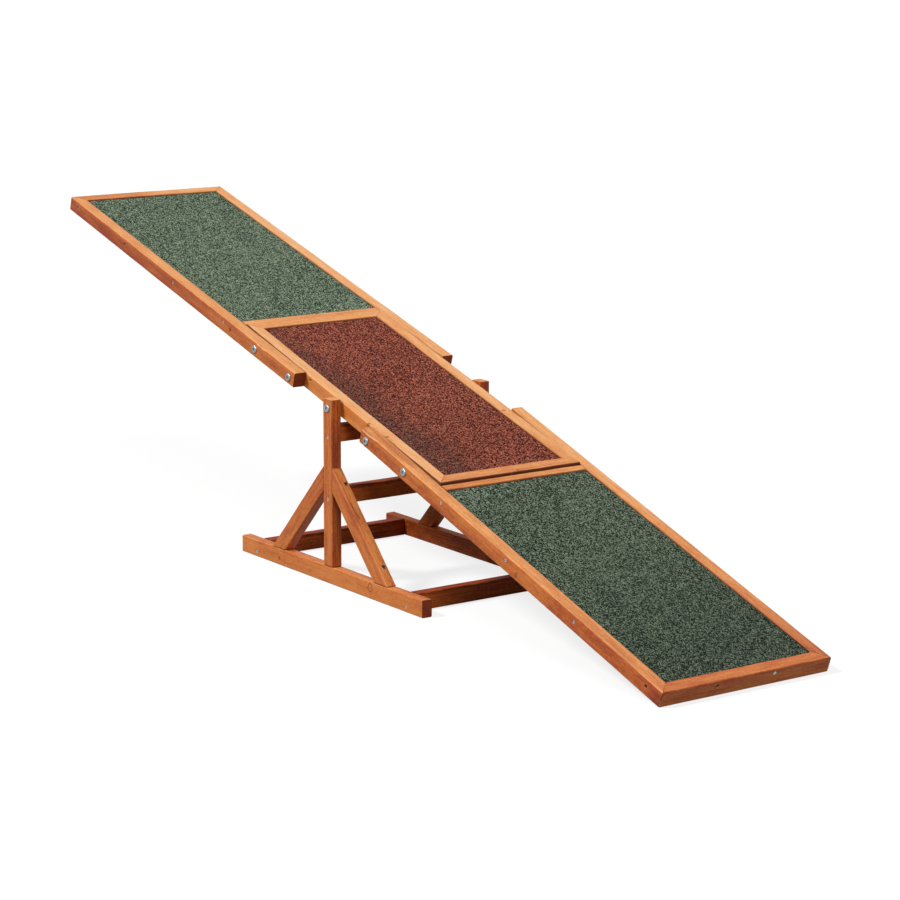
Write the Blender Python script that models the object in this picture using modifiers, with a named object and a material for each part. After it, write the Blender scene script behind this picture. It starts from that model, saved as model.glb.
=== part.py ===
"""Dog agility seesaw: a plank of three bolted sections that tips on a low timber stand.

Metres, +Z up. The origin is on the ground straight below the pivot, +X runs towards the end
of the plank that rests on the ground, and -Y is the near side. The outer sections are two
identical panels, one of them turned end for end, that overlap the middle frame on both sides.
"""

import math

import bmesh
import bpy

# Plank, seen square on
PLANK_WIDTH = 0.310
PANEL_LENGTH = 0.584
CENTRE_LENGTH = 0.580
PANEL_OVERLAP = 0.190
RAIL_WIDTH = 0.0215
RAIL_DEPTH = 0.025
CROSS_RAIL_WIDTH = 0.016

# Walking surface: felt on a board, both let in between the rails
FELT_RECESS = 0.002
FELT_THICKNESS = 0.002
BOARD_THICKNESS = 0.012

# The panels sag at their bolts, which the photograph shows
LOW_PANEL_SAG = math.radians(1.7)
HIGH_PANEL_SAG = math.radians(0.9)
JOINT_GAP = 0.0012

# Stand
STAND_TIMBER_THICKNESS = 0.018
BASE_RAIL_LENGTH = 0.524
BASE_RAIL_HEIGHT = 0.028
POST_WIDTH = 0.026
POST_TOP_ABOVE_PIVOT = 0.014
PIVOT_HEIGHT = 0.284
BRACE_WIDTH = 0.028
BRACE_TOP_BELOW_PIVOT = 0.095
BRACE_FOOT_X = 0.167
CROSS_BAR_HEIGHT = 0.028
CROSS_BAR_THICKNESS = 0.018
BASE_BAR_INSET = 0.048
UPPER_BAR_BELOW_PIVOT = 0.041
MIDDLE_BAR_BELOW_PIVOT = 0.142

# Bolts and threaded inserts
BOLT_DIAMETER = 0.006
BOLT_TIP_SETBACK = 0.0036
HEAD_DIAMETER = 0.0125
HEAD_HEIGHT = 0.0036
RECESS_LENGTH = 0.0064
RECESS_WIDTH = 0.0012
RECESS_DEPTH = 0.0018
BOLT_FROM_JOINT = 0.0665
BOLT_FROM_RAIL_END = 0.0165
INSERT_DIAMETER = 0.010
INSERT_LENGTH = 0.015
WASHER_DIAMETER = 0.016
WASHER_THICKNESS = 0.0017

# Fit and finish
CONTACT_GAP = 0.0003
HOLE_CLEARANCE = 0.0004
EDGE_ROUNDING = 0.0012
EDGE_STEPS = 2
ROUND_STEPS = 16

# Derived
PLANK_FACE = PLANK_WIDTH / 2
RAIL_INNER_FACE = PLANK_FACE - RAIL_WIDTH
CENTRE_FACE = RAIL_INNER_FACE - CONTACT_GAP
CENTRE_INNER_FACE = CENTRE_FACE - RAIL_WIDTH
CENTRE_END = CENTRE_LENGTH / 2
STAND_INNER_FACE = CENTRE_FACE + WASHER_THICKNESS + 2 * CONTACT_GAP
STAND_FACE = STAND_INNER_FACE + STAND_TIMBER_THICKNESS
OUTER_BOLT_FROM_JOINT = PANEL_OVERLAP - BOLT_FROM_RAIL_END
SAG_CENTRE = (BOLT_FROM_JOINT + OUTER_BOLT_FROM_JOINT) / 2
MITRE_GAP = CONTACT_GAP * math.sqrt(2)
FELT_TOP = RAIL_DEPTH / 2 - FELT_RECESS
BOARD_TOP = FELT_TOP - FELT_THICKNESS - CONTACT_GAP
BOLT_RADIUS = BOLT_DIAMETER / 2
HOLE_RADIUS = BOLT_RADIUS + HOLE_CLEARANCE
INSERT_RADIUS = INSERT_DIAMETER / 2
POCKET_RADIUS = INSERT_RADIUS + HOLE_CLEARANCE
CUTTER_OVERSHOOT = 0.002

NEAR, FAR = -1, 1
HIGH, LOW = -1, 1
SIDE_NAMES = {NEAR: "near", FAR: "far"}
END_NAMES = {HIGH: "high", LOW: "low"}
PANEL_SAGS = {HIGH: HIGH_PANEL_SAG, LOW: LOW_PANEL_SAG}


def clear_scene():
    """Remove whatever the file opened with."""
    for obj in list(bpy.data.objects):
        bpy.data.objects.remove(obj, do_unlink=True)


def new_collection(name):
    """Make a collection under the scene's own."""
    collection = bpy.data.collections.new(name)
    bpy.context.scene.collection.children.link(collection)
    return collection


def new_material(name, color, roughness, metallic=0.0):
    """Make one Principled material."""
    material = bpy.data.materials.new(name)
    material.use_nodes = True
    shader = material.node_tree.nodes["Principled BSDF"]
    shader.inputs["Base Color"].default_value = (*color, 1.0)
    shader.inputs["Roughness"].default_value = roughness
    shader.inputs["Metallic"].default_value = metallic
    return material


def new_empty(name, parent=None, location=(0, 0, 0), rotation=(0, 0, 0)):
    """Make the frame that a group of pieces is placed in."""
    empty = bpy.data.objects.new(name, None)
    PARTS.objects.link(empty)
    empty.parent = parent
    empty.location = location
    empty.rotation_euler = rotation
    return empty


def new_object(name, mesh, collection, parent, location=(0, 0, 0), rotation=(0, 0, 0)):
    """Put a mesh in a collection, placed in its parent's frame."""
    obj = bpy.data.objects.new(name, mesh)
    collection.objects.link(obj)
    obj.parent = parent
    obj.location = location
    obj.rotation_euler = rotation
    return obj


def box_mesh(name, size, reshape=None):
    """Make a box about its own middle; reshape moves each corner, given its signs."""
    mesh = bpy.data.meshes.new(name)
    shape = bmesh.new()
    bmesh.ops.create_cube(shape, size=1.0)
    for vert in shape.verts:
        signs = [math.copysign(1, value) for value in vert.co]
        vert.co = [sign * length / 2 for sign, length in zip(signs, size)]
        if reshape:
            vert.co = reshape(signs, vert.co.copy())
    shape.to_mesh(mesh)
    shape.free()
    return mesh


def round_edges(obj):
    """Take the sharp edges off sawn timber."""
    bevel = obj.modifiers.new("rounded edges", "BEVEL")
    bevel.width = EDGE_ROUNDING
    bevel.segments = EDGE_STEPS
    bevel.limit_method = "ANGLE"
    bevel.angle_limit = math.radians(30)


def cut(obj, cutters):
    """Subtract each cutter from a piece."""
    for cutter in cutters:
        boolean = obj.modifiers.new(cutter.name, "BOOLEAN")
        boolean.operation = "DIFFERENCE"
        boolean.solver = "EXACT"
        boolean.object = cutter


def timber(name, size, parent, location=(0, 0, 0), reshape=None, material="timber"):
    """Make one length of rounded timber."""
    obj = new_object(name, box_mesh(name, size, reshape), PARTS, parent, location)
    obj.data.materials.append(MATERIALS[material])
    round_edges(obj)
    return obj


def sheet(name, size, parent, location, material):
    """Make one flat sheet with square edges."""
    obj = new_object(name, box_mesh(name, size), PARTS, parent, location)
    obj.data.materials.append(MATERIALS[material])
    return obj


def hide_cutter(obj):
    """Keep a cutter out of the model."""
    obj.hide_render = True
    obj.display_type = "WIRE"


def baked_mesh(obj):
    """Return the mesh that an object's modifiers make, welded, and remove the object."""
    depsgraph = bpy.context.evaluated_depsgraph_get()
    mesh = bpy.data.meshes.new_from_object(obj.evaluated_get(depsgraph))
    shape = bmesh.new()
    shape.from_mesh(mesh)
    bmesh.ops.remove_doubles(shape, verts=shape.verts, dist=0.00001)
    bmesh.ops.dissolve_degenerate(shape, edges=shape.edges, dist=0.00001)
    shape.to_mesh(mesh)
    shape.free()
    bpy.data.objects.remove(obj, do_unlink=True)
    return mesh


def turned_mesh(name, profile, closed):
    """Turn a profile of (radius, height) points about Z; it runs down its outer side."""
    mesh = bpy.data.meshes.new(name)
    count = len(profile)
    edges = [(index, index + 1) for index in range(count - 1)]
    if closed:
        edges.append((count - 1, 0))
    mesh.from_pydata([(radius, 0, height) for radius, height in profile], edges, [])
    obj = new_object(name + " profile", mesh, CUTTERS, None)
    screw = obj.modifiers.new("turn", "SCREW")
    screw.axis = "Z"
    screw.steps = ROUND_STEPS
    screw.render_steps = ROUND_STEPS
    screw.use_merge_vertices = True
    screw.merge_threshold = 0.00001
    return baked_mesh(obj)


def hole_mesh(name, outer_face):
    """Cutter for a bolt's hole and, at its inner end, the wider pocket for the insert.

    Z = 0 is the outer face that the bolt goes in from.
    """
    pocket_start = CENTRE_INNER_FACE + INSERT_LENGTH + CONTACT_GAP - outer_face
    pocket_end = CENTRE_INNER_FACE - CUTTER_OVERSHOOT - outer_face
    profile = [
        (0, CUTTER_OVERSHOOT),
        (HOLE_RADIUS, CUTTER_OVERSHOOT),
        (HOLE_RADIUS, pocket_start),
        (POCKET_RADIUS, pocket_start),
        (POCKET_RADIUS, pocket_end),
        (0, pocket_end),
    ]
    return turned_mesh(name, profile, closed=False)


def bolt_mesh(name, outer_face):
    """Pan-head machine bolt with a cross recess; the head is above Z = 0, the shank below.

    It goes in from an outer face and stops short of the inner end of its insert.
    """
    length = outer_face + CONTACT_GAP - CENTRE_INNER_FACE - BOLT_TIP_SETBACK
    dome = [
        (HEAD_DIAMETER / 2 * math.sin(angle), HEAD_HEIGHT * (0.35 + 0.65 * math.cos(angle)))
        for angle in (0, math.radians(35), math.radians(65), math.radians(90))
    ]
    tip_chamfer = BOLT_RADIUS / 3
    profile = dome + [
        (HEAD_DIAMETER / 2, 0),
        (BOLT_RADIUS, 0),
        (BOLT_RADIUS, tip_chamfer - length),
        (BOLT_RADIUS - tip_chamfer, -length),
        (0, -length),
    ]
    obj = new_object(name, turned_mesh(name, profile, closed=False), CUTTERS, None)
    slots = []
    for index, size in enumerate(((RECESS_LENGTH, RECESS_WIDTH), (RECESS_WIDTH, RECESS_LENGTH))):
        mesh = box_mesh(f"recess {index}", (*size, 2 * RECESS_DEPTH))
        slot = new_object(mesh.name, mesh, CUTTERS, None, (0, 0, HEAD_HEIGHT))
        hide_cutter(slot)
        slots.append(slot)
    cut(obj, slots)
    mesh = baked_mesh(obj)
    for slot in slots:
        bpy.data.objects.remove(slot, do_unlink=True)
    mesh.materials.append(MATERIALS["zinc"])
    return mesh


def sleeve_mesh(name, outer_radius, length):
    """A round sleeve or washer with a bolt's hole through it, centred on Z = 0."""
    half = length / 2
    profile = [(outer_radius, half), (outer_radius, -half), (HOLE_RADIUS, -half), (HOLE_RADIUS, half)]
    mesh = turned_mesh(name, profile, closed=True)
    mesh.materials.append(MATERIALS["zinc"])
    return mesh


def mitre(run, side):
    """Return a reshape that shortens one long edge of a rail at the ends given in run.

    The rail runs along X and its mitred face looks to the side given, so that edge is the
    short one.
    """

    def reshape(signs, corner):
        if signs[1] == side and signs[0] in run:
            corner.x -= signs[0] * RAIL_WIDTH
        return corner

    return reshape


def mitred_end_rail(name, face, end_x, direction, parent):
    """Make the rail across an end, mitred between two side rails whose outer faces are given."""

    def reshape(signs, corner):
        is_inner_edge = signs[0] == -direction
        reach = face - MITRE_GAP - (RAIL_WIDTH if is_inner_edge else 0)
        corner.y = signs[1] * reach
        return corner

    size = (RAIL_WIDTH, 2 * face, RAIL_DEPTH)
    middle = end_x - direction * RAIL_WIDTH / 2
    return timber(name, size, parent, (middle, 0, 0), reshape)


def deck(name, start_x, end_x, half_width, parent, felt):
    """Lay a board and its felt between the rails."""
    length = end_x - start_x - 2 * CONTACT_GAP
    width = 2 * (half_width - CONTACT_GAP)
    middle = (start_x + end_x) / 2
    board_z = BOARD_TOP - BOARD_THICKNESS / 2
    felt_z = FELT_TOP - FELT_THICKNESS / 2
    sheet(f"{name}_board", (length, width, BOARD_THICKNESS), parent, (middle, 0, board_z), "board")
    sheet(f"{name}_felt", (length, width, FELT_THICKNESS), parent, (middle, 0, felt_z), felt)


def bolt_places():
    """List each joint bolt's name, side and X along the middle frame."""
    places = []
    for end in (HIGH, LOW):
        for side in (NEAR, FAR):
            for label, distance in (("inner", BOLT_FROM_JOINT), ("outer", OUTER_BOLT_FROM_JOINT)):
                name = f"{END_NAMES[end]}_{SIDE_NAMES[side]}_{label}"
                places.append((name, end, side, end * (CENTRE_END - distance)))
    return places


def fasten(kind, name, side, x, outer_face):
    """Put in a bolt from an outer face and its insert in the middle frame's side rail.

    Returns the cutter for their hole.
    """
    turn = (math.radians(90) * -side, 0, 0)
    face_place = (x, side * outer_face, 0)
    head_place = (x, side * (outer_face + CONTACT_GAP), 0)
    insert_place = (x, side * (CENTRE_INNER_FACE + INSERT_LENGTH / 2), 0)
    new_object(f"{kind}_bolt_{name}", BOLTS[kind], PARTS, PLANK, head_place, turn)
    new_object(f"{kind}_insert_{name}", INSERT, PARTS, PLANK, insert_place, turn)
    hole = new_object(f"{kind}_hole_{name}", HOLES[kind], CUTTERS, PLANK, face_place, turn)
    hide_cutter(hole)
    return hole


def build_centre(holes):
    """Middle frame: four mitred rails round a red deck, drilled for every bolt."""
    for side in (NEAR, FAR):
        name = f"centre_side_rail_{SIDE_NAMES[side]}"
        place = (0, side * (CENTRE_FACE - RAIL_WIDTH / 2), 0)
        size = (CENTRE_LENGTH, RAIL_WIDTH, RAIL_DEPTH)
        rail = timber(name, size, PLANK, place, mitre((-1, 1), -side))
        cut(rail, [hole for hole_side, hole in holes if hole_side == side])
    for end in (HIGH, LOW):
        name = f"centre_end_rail_{END_NAMES[end]}"
        mitred_end_rail(name, CENTRE_FACE, end * CENTRE_END, end, PLANK)
    reach = CENTRE_END - RAIL_WIDTH
    deck("centre", -reach, reach, CENTRE_INNER_FACE, PLANK, "red felt")


def build_panel(end, joint_holes):
    """Outer panel: two long side rails, a mitred end rail, a cross rail and a green deck.

    It is built as the low panel; the high one is the same panel turned end for end. Its frame
    sits midway between its bolts, about which it sags.
    """
    label = END_NAMES[end]
    turn = (0, PANEL_SAGS[end], 0 if end == LOW else math.pi)
    panel = new_empty(f"{label}_panel", PLANK, (end * (CENTRE_END - SAG_CENTRE), 0, 0), turn)
    joint_x = SAG_CENTRE
    start_x = joint_x - PANEL_OVERLAP
    end_x = joint_x + PANEL_LENGTH
    length = end_x - start_x
    for panel_side in (NEAR, FAR):
        side = panel_side * end
        place = ((start_x + end_x) / 2, panel_side * (PLANK_FACE - RAIL_WIDTH / 2), 0)
        name = f"{label}_side_rail_{SIDE_NAMES[side]}"
        rail = timber(name, (length, RAIL_WIDTH, RAIL_DEPTH), panel, place, mitre((1,), -panel_side))
        cut(rail, [hole for place, hole in joint_holes if place == (end, side)])
    mitred_end_rail(f"{label}_end_rail", PLANK_FACE, end_x, 1, panel)
    cross_start = joint_x + JOINT_GAP
    cross_end = joint_x + CROSS_RAIL_WIDTH
    cross_size = (cross_end - cross_start, 2 * (RAIL_INNER_FACE - CONTACT_GAP), RAIL_DEPTH)
    cross_place = ((cross_start + cross_end) / 2, 0, 0)
    timber(f"{label}_cross_rail", cross_size, panel, cross_place)
    deck(label, cross_end, end_x - RAIL_WIDTH, RAIL_INNER_FACE, panel, "green felt")


def brace_reshape(post_x, top_z, foot_x, foot_z):
    """Return a reshape that lays a brace from a post's face down to a base rail's top."""
    slope = math.atan2(top_z - foot_z, foot_x - post_x)
    cut_on_post = BRACE_WIDTH / math.cos(slope)
    cut_on_rail = BRACE_WIDTH / math.sin(slope)

    def reshape(signs, corner):
        is_foot = signs[0] > 0
        is_lower_edge = signs[2] < 0
        corner.x = foot_x if is_foot else post_x
        corner.z = foot_z if is_foot else top_z
        if is_lower_edge and is_foot:
            corner.x -= cut_on_rail
        elif is_lower_edge:
            corner.z -= cut_on_post
        return corner

    return reshape


def build_side_frame(side, post_hole):
    """One side of the stand: base rail, post and two diagonal braces, all in one plane."""
    label = SIDE_NAMES[side]
    middle_y = side * (STAND_FACE - STAND_TIMBER_THICKNESS / 2)
    rail_size = (BASE_RAIL_LENGTH, STAND_TIMBER_THICKNESS, BASE_RAIL_HEIGHT)
    timber(f"base_rail_{label}", rail_size, STAND, (0, middle_y, BASE_RAIL_HEIGHT / 2))

    seat_z = BASE_RAIL_HEIGHT + CONTACT_GAP
    post_top = PIVOT_HEIGHT + POST_TOP_ABOVE_PIVOT
    post_size = (POST_WIDTH, STAND_TIMBER_THICKNESS, post_top - seat_z)
    post = timber(f"post_{label}", post_size, STAND, (0, middle_y, (post_top + seat_z) / 2))
    cut(post, [post_hole])

    for end in (HIGH, LOW):
        reshape = brace_reshape(
            POST_WIDTH / 2 + CONTACT_GAP,
            PIVOT_HEIGHT - BRACE_TOP_BELOW_PIVOT,
            BRACE_FOOT_X,
            seat_z,
        )
        name = f"brace_{label}_{END_NAMES[end]}"
        brace = timber(name, (1, STAND_TIMBER_THICKNESS, 1), STAND, (0, middle_y, 0), reshape)
        if end == HIGH:
            brace.rotation_euler.z = math.pi


def build_cross_bars():
    """Four bars between the side frames: two at the base and two between the posts."""
    size = (CROSS_BAR_THICKNESS, 2 * (STAND_INNER_FACE - CONTACT_GAP), CROSS_BAR_HEIGHT)
    base_x = BASE_RAIL_LENGTH / 2 - BASE_BAR_INSET
    for end in (HIGH, LOW):
        place = (end * base_x, 0, BASE_RAIL_HEIGHT - CROSS_BAR_HEIGHT / 2)
        timber(f"base_cross_bar_{END_NAMES[end]}", size, STAND, place)
    for label, drop in (("upper", UPPER_BAR_BELOW_PIVOT), ("middle", MIDDLE_BAR_BELOW_PIVOT)):
        timber(f"post_cross_bar_{label}", size, STAND, (0, 0, PIVOT_HEIGHT - drop))


def build_pivot_washer(side):
    """Washer that keeps the middle frame clear of the post."""
    washer_y = side * (STAND_INNER_FACE + CENTRE_FACE) / 2
    turn = (math.radians(90) * -side, 0, 0)
    place = (0, washer_y, PIVOT_HEIGHT)
    new_object(f"pivot_washer_{SIDE_NAMES[side]}", WASHER, PARTS, STAND, place, turn)


def rest_tilt():
    """Tilt about the pivot at which the low end's rounded lower edge just meets the ground."""
    along = SAG_CENTRE + PANEL_LENGTH - EDGE_ROUNDING
    below = -RAIL_DEPTH / 2
    sag = LOW_PANEL_SAG
    reach = CENTRE_END - SAG_CENTRE + along * math.cos(sag) + below * math.sin(sag)
    drop = along * math.sin(sag) - below * math.cos(sag)
    return math.asin(PIVOT_HEIGHT / math.hypot(reach, drop)) - math.atan2(drop, reach)


clear_scene()
PARTS = new_collection("dog_agility_seesaw")
CUTTERS = new_collection("cutters")
MATERIALS = {
    "timber": new_material("timber", (0.62, 0.25, 0.08), 0.45),
    "board": new_material("board", (0.42, 0.25, 0.12), 0.70),
    "green felt": new_material("green felt", (0.08, 0.13, 0.08), 0.95),
    "red felt": new_material("red felt", (0.20, 0.06, 0.05), 0.95),
    "zinc": new_material("zinc", (0.70, 0.73, 0.75), 0.30, 1.0),
}
BOLTS = {
    "joint": bolt_mesh("joint bolt", PLANK_FACE),
    "pivot": bolt_mesh("pivot bolt", STAND_FACE),
}
INSERT = sleeve_mesh("insert", INSERT_RADIUS, INSERT_LENGTH)
WASHER = sleeve_mesh("washer", WASHER_DIAMETER / 2, WASHER_THICKNESS)
HOLES = {
    "joint": hole_mesh("joint hole", PLANK_FACE),
    "pivot": hole_mesh("pivot hole", STAND_FACE),
}

STAND = new_empty("stand")
PLANK = new_empty("plank", location=(0, 0, PIVOT_HEIGHT), rotation=(0, rest_tilt(), 0))

centre_holes = []
panel_holes = []
for bolt_name, bolt_end, bolt_side, bolt_x in bolt_places():
    joint_hole = fasten("joint", bolt_name, bolt_side, bolt_x, PLANK_FACE)
    centre_holes.append((bolt_side, joint_hole))
    panel_holes.append(((bolt_end, bolt_side), joint_hole))

for frame_side in (NEAR, FAR):
    pivot_hole = fasten("pivot", SIDE_NAMES[frame_side], frame_side, 0, STAND_FACE)
    centre_holes.append((frame_side, pivot_hole))
    build_pivot_washer(frame_side)
    build_side_frame(frame_side, pivot_hole)

build_cross_bars()
build_centre(centre_holes)
build_panel(HIGH, panel_holes)
build_panel(LOW, panel_holes)
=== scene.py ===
import math
import random

import bmesh
import bpy
from mathutils import Euler, Matrix, Vector


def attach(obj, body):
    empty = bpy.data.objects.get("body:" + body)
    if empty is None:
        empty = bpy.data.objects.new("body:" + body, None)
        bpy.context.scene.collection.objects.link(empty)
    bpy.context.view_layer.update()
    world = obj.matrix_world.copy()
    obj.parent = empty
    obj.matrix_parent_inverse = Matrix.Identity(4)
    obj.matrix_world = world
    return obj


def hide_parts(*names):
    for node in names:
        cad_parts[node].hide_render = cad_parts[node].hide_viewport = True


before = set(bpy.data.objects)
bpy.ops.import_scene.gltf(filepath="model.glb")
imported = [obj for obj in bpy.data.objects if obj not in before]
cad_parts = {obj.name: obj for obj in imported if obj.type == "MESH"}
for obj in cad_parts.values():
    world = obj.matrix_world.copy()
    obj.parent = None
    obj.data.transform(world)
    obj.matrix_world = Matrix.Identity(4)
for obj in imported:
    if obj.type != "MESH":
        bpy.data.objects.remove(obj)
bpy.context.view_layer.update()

# Base rails
# Two planed fir battens lie flat on the ground, one on each side, and carry the whole stand.
# Every batten is dipped in an orange-brown glaze, and screws go through it into the cross bars.
base_rail_size = (0.524, 0.018, 0.028)
batten_face = base_rail_size[1] / 2
batten_top = base_rail_size[2] / 2
stand_side = 0.1445
screw_bore = 0.0030
flush = 0.0004
both_sides = ((-1, "near"), (1, "far"))


def deselect():
    if bpy.context.mode != "OBJECT":
        bpy.ops.object.mode_set(mode="OBJECT")
    bpy.ops.object.select_all(action="DESELECT")


def take(piece):
    deselect()
    piece.select_set(True)
    bpy.context.view_layer.objects.active = piece


def set_down(piece, lie):
    """Put a piece that was made about the origin in its place, and leave the place in its mesh."""
    take(piece)
    piece.matrix_world = lie
    bpy.ops.object.transform_apply(location=True, rotation=True, scale=True)


def apply_modifiers(piece):
    take(piece)
    for modifier in list(piece.modifiers):
        bpy.ops.object.modifier_apply(modifier=modifier.name)


def new_block(size):
    """Add a block about the origin, and leave it in edit mode."""
    deselect()
    bpy.ops.mesh.primitive_cube_add(size=1)
    bpy.ops.object.mode_set(mode="EDIT")
    bpy.ops.transform.resize(value=size)
    return bpy.context.object


def cut_evenly(axis, span, count):
    """Cut the block in edit mode across one axis into even lengths, so that it can bend."""
    for index in range(1, count):
        where = Vector((0, 0, 0))
        way = Vector((0, 0, 0))
        where[axis] = span * (index / count - 0.5)
        way[axis] = 1
        bpy.ops.mesh.select_all(action="SELECT")
        bpy.ops.mesh.bisect(plane_co=where, plane_no=way)


def pick(piece, kind, wanted):
    """Select, in edit mode, the edges or faces that a test picks."""
    bpy.ops.mesh.select_mode(type=kind)
    bpy.ops.mesh.select_all(action="DESELECT")
    shape = bmesh.from_edit_mesh(piece.data)
    for item in shape.edges if kind == "EDGE" else shape.faces:
        if wanted(item):
            item.select_set(True)
    bmesh.update_edit_mesh(piece.data)


def runs_along(edge):
    """True for an edge that runs the way of the grain."""
    run = edge.verts[1].co - edge.verts[0].co
    return abs(run.x) > 0.9 * run.length


def at_an_end(edge):
    """True for an edge round an end cut."""
    return not runs_along(edge) and len(edge.link_faces) == 2 and edge.calc_face_angle() > 0.6


def turned(lie_point, facing):
    """Matrix that stands something made along +Z at a point, facing a way."""
    return Matrix.Translation(lie_point) @ Vector(facing).to_track_quat("Z", "Y").to_matrix().to_4x4()


def carve(piece, tool):
    """Note that a tool's shape is to be cut from a piece when its modifiers are applied."""
    cut = piece.modifiers.new("cut", "BOOLEAN")
    cut.operation = "DIFFERENCE"
    cut.solver = "EXACT"
    cut.object = tool
    return cut


uneven = bpy.data.textures.new("uneven planing", "CLOUDS")
uneven.noise_scale = 0.05
uneven.noise_depth = 3


def make_batten(name, lie, size, cuts=(), holes=(), chips=(), rounding=0.0021):
    """Plane one batten with its grain along X about the origin, then set it down.

    cuts are slanting end cuts as (point, outward way); holes are (point, facing, radius, depth)
    bored for screws; chips are (middle, radii, turn in degrees) knocked or split out of it.
    """
    piece = new_block(size)
    piece.name = name
    for point, outward in cuts:
        bpy.ops.mesh.select_all(action="SELECT")
        bpy.ops.mesh.bisect(plane_co=point, plane_no=outward, use_fill=True, clear_outer=True)
    pick(piece, "EDGE", runs_along)
    bpy.ops.mesh.bevel(offset=rounding, segments=4, affect="EDGES")
    pick(piece, "EDGE", at_an_end)
    bpy.ops.mesh.bevel(offset=0.0005, segments=2, affect="EDGES")
    cut_evenly(0, size[0], max(4, round(size[0] / 0.022)))
    bpy.ops.mesh.select_all(action="SELECT")
    bpy.ops.mesh.normals_make_consistent(inside=False)
    bpy.ops.object.mode_set(mode="OBJECT")
    cutters = []
    for point, facing, radius, depth in holes:
        deselect()
        bpy.ops.mesh.primitive_cylinder_add(vertices=20, radius=radius, depth=2 * depth)
        set_down(bpy.context.object, turned(point, facing))
        cutters.append(bpy.context.object)
    for number, (middle, radii, swing) in enumerate(chips):
        deselect()
        bpy.ops.mesh.primitive_ico_sphere_add(subdivisions=3, radius=1)
        bpy.ops.object.mode_set(mode="EDIT")
        bpy.ops.transform.vertex_random(offset=0.14, uniform=0.0, normal=1.0, seed=number + 5)
        bpy.ops.object.mode_set(mode="OBJECT")
        swing = Euler([math.radians(angle) for angle in swing]).to_matrix().to_4x4()
        set_down(bpy.context.object, Matrix.Translation(middle) @ swing @ Matrix.Diagonal((*radii, 1)))
        cutters.append(bpy.context.object)
    set_down(piece, lie)
    waves = piece.modifiers.new("uneven", "DISPLACE")
    waves.texture = uneven
    waves.strength = 0.0006
    waves.mid_level = 0.5
    for cutter in cutters:
        set_down(cutter, lie)
        carve(piece, cutter)
    apply_modifiers(piece)
    for cutter in cutters:
        bpy.data.objects.remove(cutter, do_unlink=True)
    take(piece)
    bpy.ops.object.shade_smooth_by_angle(angle=math.radians(38))
    even = piece.modifiers.new("even shading", "WEIGHTED_NORMAL")
    even.keep_sharp = True
    apply_modifiers(piece)
    return piece


def node(tree, kind, inputs, output=0, **options):
    """Add a node, set its options, feed its sockets, and return one of its outputs."""
    made = tree.nodes.new("ShaderNode" + kind)
    for option, value in options.items():
        setattr(made, option, value)
    for key, value in inputs.items():
        if isinstance(value, bpy.types.NodeSocket):
            tree.links.new(value, made.inputs[key])
        else:
            made.inputs[key].default_value = value
    return made.outputs[output]


def calc(tree, operation, *values, clamp=False):
    return node(tree, "Math", dict(enumerate(values)), operation=operation, use_clamp=clamp)


def times(tree, one, other):
    return calc(tree, "MULTIPLY", one, other)


def calc_vector(tree, operation, *values, output=0):
    return node(tree, "VectorMath", dict(enumerate(values)), output, operation=operation)


def split(tree, vector):
    """The three parts of a vector."""
    return node(tree, "SeparateXYZ", {0: vector}).node.outputs


def inside(tree, given):
    """How far in from the faces of its box a point lies, along each axis."""
    away = calc_vector(tree, "ABSOLUTE", given["Vector"])
    return split(tree, calc_vector(tree, "SUBTRACT", given["Half Size"], away))


def vary(tree, value, layers):
    """Add layers of noise to a value, each centred on nought and weighted."""
    for layer, weight in layers:
        centred = calc(tree, "SUBTRACT", layer, 0.5)
        value = calc(tree, "MULTIPLY_ADD", centred, weight, value)
    return value


def step(tree, value, low, high, start=0.0, end=1.0):
    """Ease from start to end while a value goes from low to high."""
    inputs = {"Value": value, "From Min": low, "From Max": high, "To Min": start, "To Max": end}
    return node(tree, "MapRange", inputs, interpolation_type="SMOOTHSTEP")


def noise(tree, place, stretch, detail=2.0, output=0):
    """Noise whose size along each axis is set by stretch, in cycles a metre."""
    scaled = calc_vector(tree, "MULTIPLY", place, stretch)
    inputs = {"Vector": scaled, "Scale": 1.0, "Detail": detail, "Roughness": 0.55}
    return node(tree, "TexNoise", inputs, output)


def blend(tree, factor, under, over, kind="MIX"):
    made = {0: factor, 6: under, 7: over}
    return node(tree, "Mix", made, 2, data_type="RGBA", blend_type=kind)


def ramp(tree, value, stops):
    """Turn a value into a colour between stops of (position, colour)."""
    made = tree.nodes.new("ShaderNodeValToRGB")
    tree.links.new(value, made.inputs[0])
    while len(made.color_ramp.elements) < len(stops):
        made.color_ramp.elements.new(0.5)
    for element, (position, color) in zip(made.color_ramp.elements, stops):
        element.position = position
        element.color = (*color, 1)
    return made.outputs[0]


def new_group(name, inputs):
    """Start a group of nodes that gives a finish, and return its tree and its named inputs."""
    tree = bpy.data.node_groups.new(name, "ShaderNodeTree")
    for label, kind in inputs.items():
        tree.interface.new_socket(label, in_out="INPUT", socket_type="NodeSocket" + kind)
    for label, kind in (("Color", "Color"), ("Roughness", "Float"), ("Height", "Float")):
        tree.interface.new_socket(label, in_out="OUTPUT", socket_type="NodeSocket" + kind)
    return tree, tree.nodes.new("NodeGroupInput").outputs


def close_group(tree, color, roughness, height):
    end = tree.nodes.new("NodeGroupOutput")
    for label, value in (("Color", color), ("Roughness", roughness), ("Height", height)):
        tree.links.new(value, end.inputs[label])


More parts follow.
